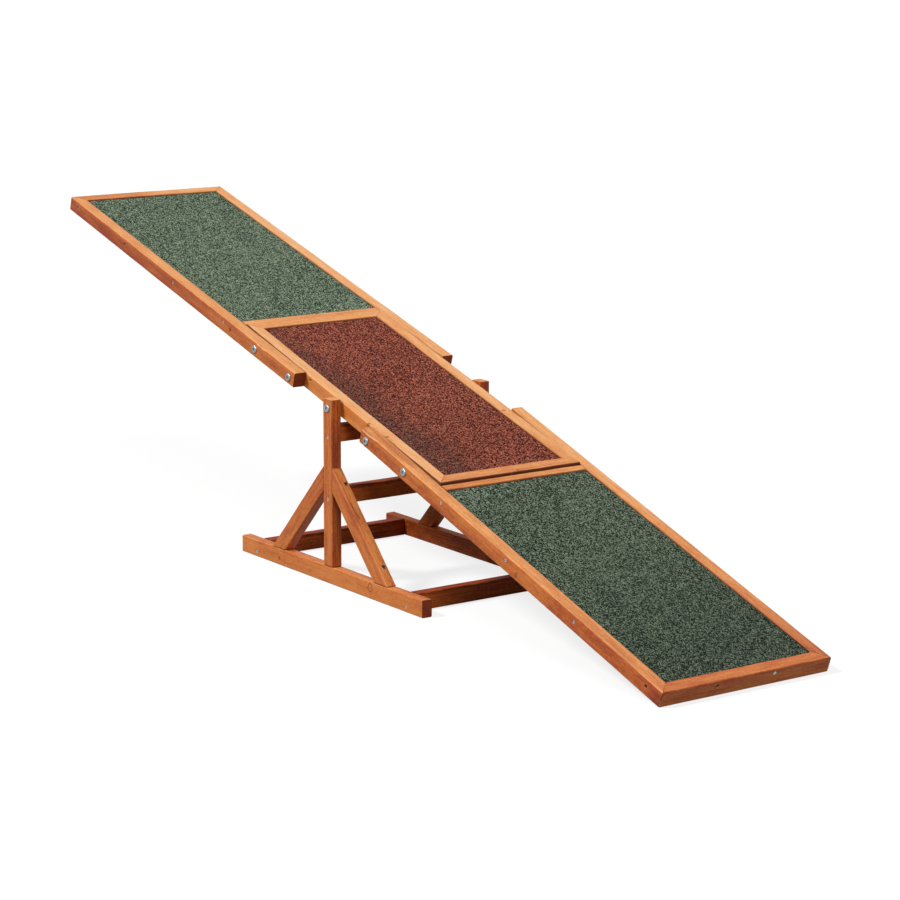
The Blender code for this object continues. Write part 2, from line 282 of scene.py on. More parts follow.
fir_inputs = dict.fromkeys(("Vector", "Grain", "Pith", "Half Size", "Dirt", "Foot Way"), "Vector")
fir_inputs.update(dict.fromkeys(("Tone", "Upward", "Weathering", "Dirt From", "Foot Level"), "Float"))
knot_labels = ("Knot A", "Knot B")
stain_labels = ("Stain A", "Stain B", "Stain C")
for label in knot_labels:
    fir_inputs.update({label: "Vector", label + " Size": "Float"})
for label in stain_labels:
    fir_inputs.update({label: "Vector", label + " Reach": "Vector", label + " Shade": "Float"})
fir, given = new_group("Glazed fir", fir_inputs)
fir_place = calc_vector(fir, "ADD", given["Vector"], given["Grain"])
fir_wander = noise(fir, fir_place, (1.1, 7, 7), output=1)
fir_wander = calc_vector(fir, "SUBTRACT", fir_wander, (0.5, 0.5, 0.5))
fir_wander = calc_vector(fir, "MULTIPLY", fir_wander, (0, 0.03, 0.03))
fir_across = calc_vector(fir, "SUBTRACT", given["Vector"], given["Pith"])
fir_across = calc_vector(fir, "ADD", fir_across, fir_wander)
fir_across = calc_vector(fir, "MULTIPLY", fir_across, (0, 1, 1))
fir_radius = calc_vector(fir, "LENGTH", fir_across, output=1)
fir_mottle = noise(fir, fir_place, (22, 90, 90), 3)
# Knots, each with a core and a ring of bark, push the growth rings aside
fir_core = fir_bark = 0.0
for label in knot_labels:
    size = calc(fir, "MAXIMUM", given[label + " Size"], 0.00001)
    away = calc_vector(fir, "SUBTRACT", given["Vector"], given[label])
    away = calc_vector(fir, "MULTIPLY", away, (1.15, 1, 1))
    reach = calc(fir, "DIVIDE", calc_vector(fir, "LENGTH", away, output=1), size)
    reach = calc(fir, "MULTIPLY_ADD", calc(fir, "SUBTRACT", fir_mottle, 0.5), 0.9, reach)
    bulge = times(fir, step(fir, reach, 0.0, 2.6, 1.0, 0.0), size)
    fir_radius = calc(fir, "ADD", fir_radius, bulge)
    solid = step(fir, size, 0.0050, 0.0075, 0.88, 0.16)
    core = times(fir, step(fir, reach, 0.55, 0.85, 1.0, 0.0), solid)
    bark = times(fir, step(fir, reach, 0.58, 0.76), step(fir, reach, 0.82, 1.04, 1.0, 0.0))
    fir_core = calc(fir, "MAXIMUM", fir_core, core)
    fir_bark = calc(fir, "MAXIMUM", fir_bark, bark)
fir_uneven = times(fir, noise(fir, fir_place, (2.5, 40, 40)), 0.9)
fir_rings = calc(fir, "ADD", calc(fir, "DIVIDE", fir_radius, 0.0024), fir_uneven)
fir_ring = calc(fir, "FRACT", fir_rings)
fir_late = times(fir, step(fir, fir_ring, 0.30, 0.88), step(fir, fir_ring, 0.92, 1.0, 1.0, 0.0))
fir_fibre = noise(fir, fir_place, (16, 850, 850), 3)
fir_streak = noise(fir, fir_place, (2.2, 120, 120), 4)
fir_broad = noise(fir, fir_place, (3.5, 11, 11), 2)
fir_fleck = noise(fir, fir_place, (170, 420, 420), 2)
fir_value = calc(fir, "ADD", given["Tone"], 0.50)
fir_layers = ((fir_broad, 0.45), (fir_streak, 0.45), (fir_fibre, 0.50), (fir_mottle, 0.50), (fir_fleck, 0.45))
fir_value = vary(fir, fir_value, fir_layers)
fir_value = calc(fir, "MULTIPLY_ADD", fir_late, -0.06, fir_value)
fir_soft = calc(fir, "SUBTRACT", fir_broad, 0.5)
for label in stain_labels:
    away = calc_vector(fir, "SUBTRACT", given["Vector"], given[label])
    away = calc_vector(fir, "DIVIDE", away, given[label + " Reach"])
    away = calc(fir, "ADD", calc_vector(fir, "LENGTH", away, output=1), fir_soft)
    stained = step(fir, away, 0.3, 1.0, 1.0, 0.0)
    fir_value = calc(fir, "MULTIPLY_ADD", stained, given[label + " Shade"], fir_value)
fir_color = ramp(
    fir,
    fir_value,
    [
        (0.00, (0.200, 0.022, 0.004)), (0.32, (0.420, 0.072, 0.011)),
        (0.58, (0.640, 0.184, 0.032)), (1.00, (0.800, 0.320, 0.085)),
    ],
)
fir_bleached = ramp(
    fir,
    fir_value,
    [
        (0.00, (0.340, 0.070, 0.016)), (0.32, (0.560, 0.180, 0.045)),
        (0.58, (0.740, 0.320, 0.105)), (1.00, (0.830, 0.535, 0.290)),
    ],
)
# End grain, painted top light on upward faces, and rubbed edges partly a painted highlight
fir_end, fir_side, fir_top = inside(fir, given)
fir_end_grain = step(fir, fir_end, 0.0001, 0.0009, 1.0, 0.0)
fir_color = blend(fir, fir_end_grain, fir_color, (0.40, 0.20, 0.11, 1), "MULTIPLY")
# Painted top light: upward faces are blended towards the paler ramp
fir_open = times(fir, step(fir, given["Upward"], 0.25, 0.95), given["Weathering"])
fir_color = blend(fir, fir_open, fir_color, fir_bleached)
fir_near_side = step(fir, fir_side, 0.0, 0.0026, 1.0, 0.0)
fir_edge = times(fir, fir_near_side, step(fir, fir_top, 0.0, 0.0026, 1.0, 0.0))
# Rubbed edges: paler patches of wear along the arrises, also a painted edge highlight
fir_rubbed = times(fir, fir_edge, step(fir, noise(fir, fir_place, (30, 90, 90), 3), 0.45, 0.65))
fir_color = blend(fir, times(fir, fir_rubbed, 0.22), fir_color, (0.86, 0.42, 0.15, 1))
# Bare wood in chips and bores, with painted shade further in
fir_sunk = calc(fir, "MINIMUM", fir_side, fir_top)
fir_off_end = step(fir, fir_end, 0.0012, 0.0016)
fir_bare = times(fir, step(fir, fir_sunk, 0.0007, 0.0011), fir_off_end)
fir_color = blend(fir, times(fir, fir_bare, 0.45), fir_color, (0.76, 0.50, 0.26, 1))
# Painted shade deep in chips, splits and bores
fir_deep = times(fir, step(fir, fir_sunk, 0.0014, 0.0026), fir_off_end)
fir_color = blend(fir, times(fir, fir_deep, 0.92), fir_color, (0.035, 0.014, 0.007, 1))
fir_color = blend(fir, fir_core, fir_color, (0.26, 0.070, 0.015, 1))
fir_color = blend(fir, times(fir, fir_bark, 0.82), fir_color, (0.34, 0.055, 0.010, 1))
# Painted shade with some grime in the seams and at the foot
fir_dirt = split(fir, given["Dirt"])
fir_own = split(fir, given["Vector"])
fir_half_y = split(fir, given["Half Size"])[1]
fir_ragged = times(fir, calc(fir, "SUBTRACT", fir_mottle, 0.5), 0.002)
fir_outer_dirt = calc(fir, "SUBTRACT", calc(fir, "ABSOLUTE", fir_own[0]), given["Dirt From"])
fir_outer_dirt = times(fir, step(fir, fir_outer_dirt, -0.002, 0.002), fir_dirt[1])
fir_foot = calc_vector(fir, "DOT_PRODUCT", given["Vector"], given["Foot Way"], output=1)
fir_foot = calc(fir, "SUBTRACT", given["Foot Level"], fir_foot)
fir_dirty = 0.0
for distance, strength in (
    (fir_foot, fir_dirt[2]),
    (calc(fir, "SUBTRACT", fir_half_y, fir_own[1]), fir_dirt[0]),
    (calc(fir, "ADD", fir_half_y, fir_own[1]), fir_outer_dirt),
):
    seam = step(fir, calc(fir, "ADD", distance, fir_ragged), 0.0005, 0.0018, 1.0, 0.0)
    fir_dirty = calc(fir, "MAXIMUM", fir_dirty, times(fir, seam, strength))
fir_color = blend(fir, fir_dirty, fir_color, (0.095, 0.022, 0.008, 1))
fir_rough = calc(fir, "MULTIPLY_ADD", fir_streak, 0.30, 0.33)
for layer, weight in ((fir_bare, 0.30), (fir_rubbed, 0.14), (fir_end_grain, 0.22), (fir_dirty, 0.35)):
    fir_rough = calc(fir, "MULTIPLY_ADD", layer, weight, fir_rough)
fir_height = calc(fir, "MULTIPLY_ADD", fir_late, 0.45, times(fir, fir_fibre, 0.8))
fir_height = calc(fir, "MULTIPLY_ADD", fir_bark, -0.4, fir_height)
close_group(fir, fir_color, fir_rough, fir_height)


def read_local(tree, lie):
    """Object coordinates turned back to a piece's own axes and middle."""
    where = {
        "Vector": node(tree, "TexCoord", {}, "Object"),
        "Location": lie.to_translation(),
        "Rotation": lie.to_euler(),
    }
    return node(tree, "Mapping", where, vector_type="TEXTURE")


def new_material(name):
    material = bpy.data.materials.new(name)
    material.use_nodes = True
    return material, material.node_tree, material.node_tree.nodes["Principled BSDF"]


def use_group(tree, group, **inputs):
    made = tree.nodes.new("ShaderNodeGroup")
    made.node_tree = group
    for label, value in inputs.items():
        socket = made.inputs[label.replace("_", " ")]
        if isinstance(value, bpy.types.NodeSocket):
            tree.links.new(value, socket)
        else:
            socket.default_value = value
    return made.outputs


def finish(tree, shader, looks, depth, strength):
    """Feed a finish's colour and roughness to a shader, and its height as a bump."""
    tree.links.new(looks["Color"], shader.inputs["Base Color"])
    tree.links.new(looks["Roughness"], shader.inputs["Roughness"])
    bump = {"Height": looks["Height"], "Distance": depth, "Strength": strength}
    tree.links.new(node(tree, "Bump", bump), shader.inputs["Normal"])


chance = random.Random(12)


def glaze(
    piece, lie, size, tone=0.0, knots=(), sheltered=False, bleached=1.0, dirt=(0, 0, 0), dirt_from=0.0,
    foot=((1, 0, 0), 9), stains=(),
):
    """Give a batten its own stretch of glazed fir, its grain along its own X.

    A batten in the plank's shade gets no painted top light and is not polished. The top light is how
    far its upward faces are painted paler, a painted highlight. The seam darkening is how dark its seams
    are painted, painted shade with some grime: on its own +Y side, on its own -Y side further than the
    given distance from its middle, and on its foot, a cut as (outward way, level). Knots are
    (place, size), and stains, paler or darker stretches, are (place, reach, shade).
    """
    material, tree, shader = new_material(piece.name + "_fir")
    marks = {}
    no_knot = ((0, 0, 1), 0.0)
    no_stain = ((0, 0, 1), (1, 1, 1), 0.0)
    for label, (place, radius) in zip(knot_labels, [*knots, no_knot, no_knot]):
        marks.update({label: place, label + " Size": radius})
    for label, (place, reach, shade) in zip(stain_labels, [*stains, no_stain, no_stain, no_stain]):
        marks.update({label: place, label + " Reach": reach, label + " Shade": shade})
    side = chance.choice((-1, 1))
    looks = use_group(
        tree,
        fir,
        Vector=read_local(tree, lie),
        Grain=[chance.uniform(0, 40) for _ in range(3)],
        Pith=(0, side * chance.uniform(0.012, 0.045), -chance.uniform(0.015, 0.06)),
        Half_Size=[length / 2 for length in size],
        Tone=tone + chance.uniform(-0.05, 0.05),
        Weathering=0.0 if sheltered else bleached,
        Dirt=dirt,
        Dirt_From=dirt_from,
        Foot_Way=foot[0],
        Foot_Level=foot[1],
        Upward=split(tree, node(tree, "TexCoord", {}, "Normal"))[2],
        **marks,
    )
    finish(tree, shader, looks, 0.0004, 0.45)
    shader.inputs["Specular IOR Level"].default_value = 0.15 if sheltered else 0.38
    shader.inputs["Coat Weight"].default_value = 0.0 if sheltered else 0.10
    shader.inputs["Coat Roughness"].default_value = 0.30
    piece.data.materials.clear()
    piece.data.materials.append(material)


def fit(piece, node_name, body):
    """Let a piece stand for its CAD node and move with its body."""
    piece.name = "finished_" + node_name
    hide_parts(node_name)
    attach(piece, body)


screw_places = {"stand": [], "plank": []}


def sink_screws(body, lie, places):
    """Note where small screws go, as (point, facing, depth), and return the holes to bore."""
    for point, facing, sunk in places:
        way = Vector(facing).normalized()
        seat = lie @ turned(Vector(point) - way * sunk, way)
        screw_places[body].append(seat)
    return [(point, facing, screw_bore, 0.0006 + sunk) for point, facing, sunk in places]


for side, label in both_sides:
    turn = Matrix.Rotation(0 if side < 0 else math.pi, 4, "Z")
    lie = Matrix.Translation((0, side * stand_side, batten_top)) @ turn
    heads = [((x, -batten_face, -0.0056), (0, -1, 0), flush) for x in (-0.217, 0.217)]
    chips = [((-0.150, -batten_face, 0.003), (0.0085, 0.0016, 0.0010), (0, 52, 0))]
    knots = [((-0.146, -batten_face, -0.003), 0.0044), ((0.120, -batten_face, 0.005), 0.0088)]
    if side > 0:
        chips = []
        knots = [((0.061, -batten_face, 0.006), 0.004)]
    holes = sink_screws("stand", lie, heads)
    rail = make_batten(f"base_rail_{label}", lie, base_rail_size, holes=holes, chips=chips)
    # Painted shade: the near rail's top is darkened under the plank's edge, and the far rail, under the
    # plank, gets a darker tone with a slightly paler top
    tone, shade = (0.10, -0.13) if side < 0 else (-0.14, 0.06)
    glaze(
        rail, lie, base_rail_size, tone, knots, sheltered=side > 0, bleached=0.25,
        stains=[((0, 0, batten_top), (0.600, 0.050, 0.006), shade)],
    )
    fit(rail, f"base_rail_{label}", "stand")

# Posts
# One upright on each base rail carries the pivot bolt near its top and the cross bars between.
# It is the same glazed fir, cut square, and screws go through it into the ends of the bars.
post_bottom = 0.0283
post_top = 0.298
post_size = (post_top - post_bottom, 0.026, 0.018)
for side, label in both_sides:
    upright = Matrix(((0, 1, 0, 0), (0, 0, side, 0), (side, 0, 0, 0), (0, 0, 0, 1)))
    middle = (0, side * stand_side, (post_top + post_bottom) / 2)
    lie = Matrix.Translation(middle) @ upright
    heads = []
    for height in (0.2372, 0.1370):
        point = lie.inverted() @ Vector((0, side * (stand_side + batten_face), height))
        heads.append((point, (0, 0, 1), flush))
    post = make_batten(f"post_{label}", lie, post_size, holes=sink_screws("stand", lie, heads))
    foot = ((-side, 0, 0), post_size[0] / 2)
    # Painted shade: the far post gets a darker tone, each post a darker stretch on its +X side as painted
    # shadow of the plank, and its foot painted shade with some grime
    glaze(
        post, lie, post_size, tone=0.0 if side < 0 else -0.10, dirt=(0, 0, 0.95), foot=foot,
        stains=[((0, 0.013, 0), (0.4, 0.004, 0.03), -0.16)],
    )
    fit(post, f"post_{label}", "stand")

# Diagonal braces
# Four fir battens steady the posts: each is cut upright where it meets the post and level where
# it stands on the base rail. A screw near each end is sunk in a wide hole in its slanting face.
both_ends = ((-1, "high"), (1, "low"))
brace_width = 0.028
brace_top = (0.0133, 0.189)
brace_foot = (0.167, 0.0283)
brace_slope = math.atan2(brace_top[1] - brace_foot[1], brace_foot[0] - brace_top[0])
brace_run = math.hypot(brace_top[1] - brace_foot[1], brace_foot[0] - brace_top[0])
brace_size = (brace_run + 0.06, 0.018, brace_width)
brace_sunk = 0.0018
brace_bore = (0.0040, 0.0026)
for side, side_label in both_sides:
    for end, end_label in both_ends:
        middle_x = (brace_top[0] + brace_foot[0]) / 2 - brace_width / 2 * math.sin(brace_slope)
        middle_z = (brace_top[1] + brace_foot[1]) / 2 - brace_width / 2 * math.cos(brace_slope)
        lie = Matrix.Translation((middle_x, side * stand_side, middle_z))
        lie = lie @ Matrix.Rotation(brace_slope, 4, "Y")
        if end < 0:
            swung = Matrix.Rotation(math.pi, 4, "Z") @ Matrix.Translation((0, -2 * side * stand_side, 0))
            lie = swung @ lie
        turn_in = Matrix.Rotation(-brace_slope, 3, "Y")
        half = brace_run / 2
        cuts = [
            ((-half, 0, brace_width / 2), turn_in @ Vector((-1, 0, 0))),
            ((half, 0, brace_width / 2), turn_in @ Vector((0, 0, -1))),
        ]
        seats = [(0.0316, 0), (0.1877, 0)]
        if (side, end) == (-1, 1):
            seats = [(0.0310, 0.0036), (0.1863, 0.0022)]
        deep = [((along - half, aside, brace_width / 2), (0, 0, 1), brace_sunk) for along, aside in seats]
        sink_screws("stand", lie, deep)
        bores = [(point, way, *brace_bore) for point, way, sunk in deep]
        chips = []
        knots = [((0.02, batten_face, 0.002), 0.0040)] if side > 0 else []
        if (side, end) == (-1, 1):
            chips = [
                ((half - 0.034, -batten_face, -0.0135), (0.006, 0.004, 0.0016), (0, 0, 0)),
                ((0.076 - half, -0.0036, 0.0140), (0.0120, 0.0012, 0.0050), (0, 0, 3)),
                ((0.092 - half, -0.0016, 0.0140), (0.0095, 0.0017, 0.0050), (0, 0, 14)),
            ]
        name = f"brace_{side_label}_{end_label}"
        brace = make_batten(name, lie, brace_size, cuts=cuts, holes=bores, chips=chips)
        foot = (cuts[1][1], cuts[1][1].dot(Vector(cuts[1][0])))
        # Painted shade: the far braces, under the plank, get a darker tone, and each brace's foot painted
        # shade with some grime
        tone = (0.03 if end > 0 else 0.01) if side < 0 else -0.12
        glaze(
            brace, lie, brace_size, tone, knots, sheltered=side > 0, bleached=0.5, dirt=(0, 0, 0.85),
            foot=foot,
        )
        fit(brace, name, "stand")

# Cross bars of the stand
# Four short battens hold the two side frames apart, two at the base and two between the posts.
# They butt against the inner faces and are held by the screws that come through them.
base_bar_x = 0.214
bar_size = (0.2704, 0.018, 0.028)
bars = {
    "base_cross_bar_high": (-base_bar_x, batten_top),
    "base_cross_bar_low": (base_bar_x, batten_top),
    "post_cross_bar_upper": (0, 0.243),
    "post_cross_bar_middle": (0, 0.142),
}
for name, (x, z) in bars.items():
    lie = Matrix.Translation((x, 0, z)) @ Matrix.Rotation(math.pi / 2, 4, "Z")
    bar = make_batten(name, lie, bar_size)
    knots = [((chance.uniform(-0.09, 0.09), -bar_size[1] / 2, chance.uniform(-0.005, 0.009)), 0.0038)]
    # Painted shade: the bars, in the plank's shade, get a darker tone and a darker top, and no painted top
    # light
    glaze(
        bar, lie, bar_size, tone=-0.14 if z < 0.02 else -0.08, knots=knots, sheltered=True,
        stains=[((0, 0, bar_size[2] / 2), (0.4, 0.04, 0.006), -0.30)],
    )
    fit(bar, name, "stand")

# Middle frame of the plank
# Four fir battens mitred at the corners, with a board let in between them. The side rails are
# screwed into the board's edges, and the frame hangs between the posts on the two pivot bolts.
pivot_height = 0.284
plank_tilt = 0.2932260
plank_lie = Matrix.Translation((0, 0, pivot_height)) @ Matrix.Rotation(plank_tilt, 4, "Y")
rail_width = 0.0215
rail_depth = 0.025
rail_top = rail_depth / 2
centre_length = 0.580
centre_face = 0.1332
mitre_gap = 0.0004243
quarter_turn = Matrix.Rotation(math.pi / 2, 4, "Z")
half_turn = Matrix.Rotation(math.pi, 4, "Z")


def place_rail(name, lie, length, ends, heads=(), chips=(), **looks):
    """Rail of a framed section, mitred at some ends, with its long edge on its own -Y side.

    heads are the screws through that side as (along, up, depth).
    """
    size = (length, rail_width, rail_depth)
    cuts = [((end * length / 2, -rail_width / 2, 0), (end, 1, 0)) for end in ends]
    places = [((x, -rail_width / 2, z), (0, -1, 0), sunk) for x, z, sunk in heads]
    holes = sink_screws("plank", lie, places)
    rail = make_batten(name, lie, size, cuts, holes, chips)
    glaze(rail, lie, size, **looks)
    fit(rail, name, "plank")


def place_side_rail(name, frame_lie, side, middle_x, face, length, ends, heads, **looks):
    """Side rail, its outer face on its own -Y side; heads are along the frame."""
    lie = frame_lie @ Matrix.Translation((middle_x, side * (face - rail_width / 2), 0))
    if side > 0:
        lie = lie @ half_turn
    heads = [(-side * (x - middle_x), z, sunk) for x, z, sunk in heads]
    place_rail(name, lie, length, [-side * end for end in ends], heads, **looks)


def place_end_rail(name, frame_lie, end_x, end, length, **looks):
    """Rail across the end of a framed section, mitred between its side rails."""
    lie = frame_lie @ Matrix.Translation((end_x - end * rail_width / 2, 0, 0)) @ quarter_turn
    if end < 0:
        lie = lie @ half_turn
    place_rail(name, lie, length, (-1, 1), **looks)


for side, label in both_sides:
    heads = [(x, 0.0057, 0.0016) for x in (-0.255, -0.086, 0.255)]
    knots = [((0.086, -0.0107, 0.0105), 0.0046), ((0.134, -0.0070, rail_top), 0.0034)]
    if side > 0:
        heads.append((0.086, 0.0050, flush))
        knots = [((-0.10, 0.004, rail_top), 0.0035)]
    place_side_rail(
        f"centre_side_rail_{label}", plank_lie, side, 0, centre_face, centre_length, (-1, 1), heads,
        knots=knots, tone=0.20 if side < 0 else 0.11, dirt=(0.45, 0.9, 0), dirt_from=0.100,
    )
for end, label in both_ends:
    reach = 2 * (centre_face - mitre_gap)
    place_end_rail(
        f"centre_end_rail_{label}", plank_lie, end * centre_length / 2, end, reach, tone=0.03,
        knots=[((0.014, -0.0060, rail_top), 0.0034)] if end > 0 else [], dirt=(0.3, 0.9, 0),
    )

# Outer panels of the plank
# The two outer panels are alike: long side rails that overlap the middle frame, an end rail
# mitred between them and a cross rail at the joint, screwed together round a board.
plank_face = 0.155
panel_length = 0.584
panel_overlap = 0.190
joint_to_hinge = 0.120
joint_gap = 0.0003
cross_rail = (0.0012, 0.016)
panel_sag = {"high": 0.9, "low": 1.7}
panel_lies = {}
for end, label in both_ends:
    sag = Matrix.Rotation(math.radians(panel_sag[label]), 4, "Y")
    where = Matrix.Translation((end * (centre_length / 2 - joint_to_hinge), 0, 0))
    frame_lie = plank_lie @ where @ (half_turn if end < 0 else Matrix.Identity(4)) @ sag
    panel_lies[label] = frame_lie
    start_x = joint_to_hinge - panel_overlap
    end_x = joint_to_hinge + panel_length
    even_heads = [(joint_to_hinge + along, 0.0028, flush) for along in (0.037, 0.209, 0.381, 0.553)]
    for panel_side in (-1, 1):
        side_label = "near" if panel_side * end < 0 else "far"
        middle_x = (start_x + end_x) / 2
        heads = even_heads
        chips = []
        stains = []
        knots = [((chance.uniform(-0.3, 0.3), -0.0107, chance.uniform(-0.006, 0.009)), 0.0034)]
        if (label, side_label) == ("high", "near"):
            heads = [
                (0.157, 0.003, flush), (0.329, 0.003, 0.0008), (0.501, 0.003, 0.0022), (0.674, 0.003, 0.001)
            ]
            chips = [
                ((middle_x - 0.036, -0.0112, 0.0128), (0.020, 0.0040, 0.0034), (0, 0, 0)),
                ((middle_x - 0.1334, -0.0107, -0.0004), (0.0050, 0.0070, 0.0021), (0, 25, 0)),
                ((middle_x - 0.584, -0.0107, -0.0045), (0.0036, 0.0036, 0.0010), (0, 40, 0)),
            ]
            knots = [((middle_x - 0.1334, -0.0100, -0.0004), 0.0036)]
            stains = [
                ((middle_x - 0.280, 0.004, rail_top), (0.300, 0.017, 0.015), 0.16),
                ((middle_x - 0.704, -0.0107, -0.004), (0.310, 0.020, 0.024), -0.24),
            ]
        if (label, side_label) == ("low", "far"):
            stains = [
                ((middle_x - 0.080, 0.0, rail_top), (0.340, 0.030, 0.030), 0.20),
                ((middle_x - 0.704, 0.0, rail_top), (0.270, 0.030, 0.030), -0.28),
            ]
        if (label, side_label) == ("low", "near"):
            heads = [
                (0.1555, 0.0047, flush), (0.327, 0.004, flush),
                (0.498, 0.0017, 0.0008), (0.669, 0.0007, 0.0060),
            ]
            knots = [((0.357 - middle_x, -0.0107, -0.0033), 0.0046)]
            chips = [((start_x + 0.016 - middle_x, -0.0108, 0.0127), (0.034, 0.0034, 0.0038), (0, 0, 0))]
            stains = [
                ((0.008 - middle_x, 0.0, rail_top), (0.080, 0.015, 0.013), -0.22),
                ((0.230 - middle_x, 0.0, 0.004), (0.170, 0.020, 0.020), 0.12),
                ((0.704 - middle_x, -0.0107, -0.006), (0.040, 0.016, 0.020), -0.40),
            ]
        tone = {"high near": -0.02, "high far": 0.19, "low near": -0.02, "low far": -0.14}
        place_side_rail(
            f"{label}_side_rail_{side_label}", frame_lie, panel_side, middle_x, plank_face,
            end_x - start_x, (1,), heads, chips=chips, knots=knots, tone=tone[f"{label} {side_label}"],
            dirt=(0.45, 0, 0), stains=stains,
        )
    reach = 2 * (plank_face - mitre_gap)
    end_heads = [(-0.055, 0.0033, flush), (0.0505, 0.0050, flush)]
    chips = []
    stains = [((0.100, 0.0, rail_top), (0.150, 0.030, 0.030), -0.14)]
    tone, bleached = (0.07, 1.0)
    if label == "low":
        end_heads[0] = (-0.055, 0.0033, 0.0055)
        chips = [((0.041, -0.0107, rail_top), (0.003, 0.0012, 0.0010), (0, 0, 0))]
        stains = [((0.0, 0.0, rail_top), (0.500, 0.050, 0.008), -0.12)]
        tone, bleached = (0.02, 0.38)
    place_end_rail(
        f"{label}_end_rail", frame_lie, end_x, 1, reach, heads=end_heads, chips=chips, tone=tone,
        bleached=bleached, dirt=(0.3, 0, 0), stains=stains,
    )
    size = (2 * (plank_face - rail_width - joint_gap), cross_rail[1] - cross_rail[0], rail_depth)
    middle = joint_to_hinge + sum(cross_rail) / 2
    lie = frame_lie @ Matrix.Translation((middle, 0, 0)) @ quarter_turn
    rail = make_batten(f"{label}_cross_rail", lie, size)
    glaze(rail, lie, size, tone=0.02 if label == "high" else -0.09, dirt=(0.9, 0.3, 0))
    fit(rail, f"{label}_cross_rail", "plank")

# Walking surfaces
# Sheets of bitumen felt faced with crushed mineral grit are glued down on the boards, a little
# below the rails, green on the outer panels and dark red in the middle, for the dog's grip.
felt_top = 0.0105
felt_thickness = 0.002
grit, given = new_group(
    "Mineral grit",
    {
        "Vector": "Vector",
        "Shift": "Vector",
        "Half Size": "Vector",
        "Dark": "Color",
        "Body": "Color",
        "Bright": "Color",
        "Trodden": "Float",
        "Scuffed": "Float",
    },
)
grit_place = calc_vector(grit, "ADD", given["Vector"], given["Shift"])
grit_shades = []
for grains in (680, 400):
    cell = grit.nodes.new("ShaderNodeTexVoronoi")
    cell.inputs["Scale"].default_value = grains
    grit.links.new(grit_place, cell.inputs["Vector"])
    grit_shades.append(node(grit, "SeparateColor", {0: cell.outputs["Color"]}))
    grit_gap = cell.outputs["Distance"]
grit_clump = noise(grit, grit_place, (260, 260, 260), 2)
grit_broad = noise(grit, grit_place, (9, 9, 9), 3)
grit_layers = ((grit_shades[0], 1.50), (grit_shades[1], 0.60), (grit_clump, 0.35), (grit_broad, 0.25))
grit_value = vary(grit, 0.50, grit_layers)
grit_value = calc(grit, "MULTIPLY_ADD", step(grit, grit_gap, 0.45, 0.80), -0.25, grit_value, clamp=True)
grit_color = blend(grit, step(grit, grit_value, 0.00, 0.50), given["Dark"], given["Body"])
grit_color = blend(grit, step(grit, grit_value, 0.50, 1.00), grit_color, given["Bright"])
grit_parts = split(grit, calc_vector(grit, "DIVIDE", given["Vector"], given["Half Size"]))
# Darker towards the sheet's own +X end
grit_worn = times(grit, step(grit, grit_parts[0], -0.9, 1.0), given["Trodden"])
grit_color = blend(grit, grit_worn, grit_color, (0.35, 0.35, 0.35, 1), "MULTIPLY")
grit_scuff = calc(grit, "MULTIPLY_ADD", grit_broad, 0.7, grit_parts[1])
grit_scuff = calc(grit, "MULTIPLY_ADD", grit_parts[0], -0.20, grit_scuff)
grit_scuff = times(grit, step(grit, grit_scuff, -0.65, 0.10, 1.0, 0.0), given["Scuffed"])
grit_scuff = times(grit, step(grit, grit_shades[1], 0.40, 0.70), grit_scuff)
grit_color = blend(grit, grit_scuff, grit_color, (0.034, 0.036, 0.030, 1))
grit_end, grit_side = inside(grit, given)[:2]
grit_edge = calc(grit, "MINIMUM", grit_end, grit_side)
grit_edge = calc(grit, "MULTIPLY_ADD", calc(grit, "SUBTRACT", grit_clump, 0.5), 0.004, grit_edge)
# A dark rim along the sheet's cut edges: tar showing, and painted shade of the recess between felt and rails
grit_tar = step(grit, grit_edge, 0.0006, 0.0020, 1.0, 0.0)
grit_color = blend(grit, times(grit, grit_tar, 0.8), grit_color, (0.012, 0.011, 0.010, 1))
grit_rough = calc(grit, "MULTIPLY_ADD", grit_value, -0.15, 0.95)
grit_height = calc(grit, "MULTIPLY_ADD", grit_gap, -0.5, grit_value)
close_group(grit, grit_color, grit_rough, grit_height)
coarse = bpy.data.textures.new("coarse surface", "CLOUDS")
coarse.noise_scale = 0.009
coarse.noise_depth = 2


def lay_felt(name, frame_lie, start_x, end_x, half_width, dark, body, bright, trodden, scuffed):
    """Cut one sheet to the opening between the rails, and lay it on its board.

    Its grit runs from dark over body to bright. End darkening is how much darker it gets towards its
    own +X end, and scuffed how worn it is along its own -Y edge.
    """
    length = end_x - start_x - 2 * joint_gap
    width = 2 * (half_width - joint_gap)
    sheet = new_block((length, width, felt_thickness))
    sheet.name = name
    for axis, span in ((0, length), (1, width)):
        cut_evenly(axis, span, round(span / 0.006))
    bpy.ops.object.mode_set(mode="OBJECT")
    lie = frame_lie @ Matrix.Translation(((start_x + end_x) / 2, 0, felt_top - felt_thickness / 2))
    set_down(sheet, lie)
    upper = sheet.vertex_groups.new(name="gritty side")
    way_up = lie.to_3x3() @ Vector((0, 0, 1))
    level = way_up.dot(lie.to_translation())
    upper.add([v.index for v in sheet.data.vertices if way_up.dot(v.co) > level], 1.0, "REPLACE")
    waves = sheet.modifiers.new("undulation", "DISPLACE")
    waves.texture = coarse
    waves.strength = 0.0009
    waves.mid_level = 0.55
    waves.vertex_group = "gritty side"
    apply_modifiers(sheet)
    bpy.ops.object.shade_smooth_by_angle(angle=math.radians(50))
    material, tree, shader = new_material(name + "_grit")
    looks = use_group(
        tree, grit, Vector=read_local(tree, lie), Shift=(start_x * 7, 3.0, 1.0),
        Half_Size=(length / 2, width / 2, felt_thickness / 2),
        Dark=(*dark, 1), Body=(*body, 1), Bright=(*bright, 1), Trodden=trodden, Scuffed=scuffed,
    )
    finish(tree, shader, looks, 0.0012, 0.9)
    shader.inputs["Specular IOR Level"].default_value = 0.15
    sheet.data.materials.append(material)
    fit(sheet, name, "plank")


